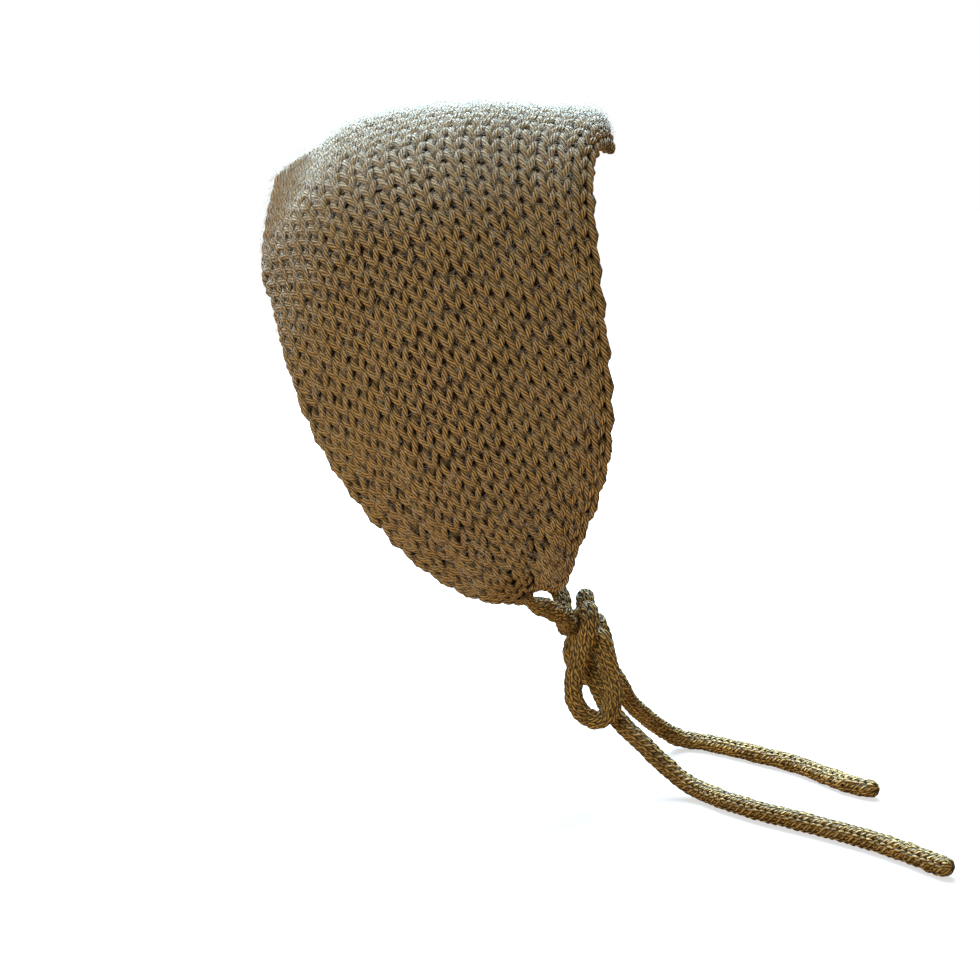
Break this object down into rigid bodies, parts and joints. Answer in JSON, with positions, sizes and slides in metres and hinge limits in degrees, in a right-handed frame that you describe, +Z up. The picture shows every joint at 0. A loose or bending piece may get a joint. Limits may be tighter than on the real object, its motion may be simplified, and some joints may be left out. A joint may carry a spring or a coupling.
{
  "type": "knitted bonnet",
  "caption": "Knitted bonnet of one strip folded over the crown, seamed behind, with narrowed ends that run into knitted ties, knotted in a bow under the chin, in its worn form.",
  "frame": {"origin": "the highest point inside the crown, where the bonnet sits on a head", "axes": "+Z up, the face opening looks along -Y, the wearer's right side is at -X"},
  "size_m": [0.1945, 0.2736, 0.2921],
  "materials": {
    "knitted_fabric": "matt plied yarn, stocking stitch",
    "knitted_cord": "matt plied yarn, round knitted cord"
  },
  "bodies": {
    "root": {"hood": "knitted_fabric", "tie_right_standing": "knitted_cord", "tie_left_standing": "knitted_cord", "bow_loop_right": "knitted_cord", "bow_loop_left": "knitted_cord", "tie_right_tail": "knitted_cord", "tie_left_tail": "knitted_cord", "bow_knot": "knitted_cord"}
  },
  "joints": []
}
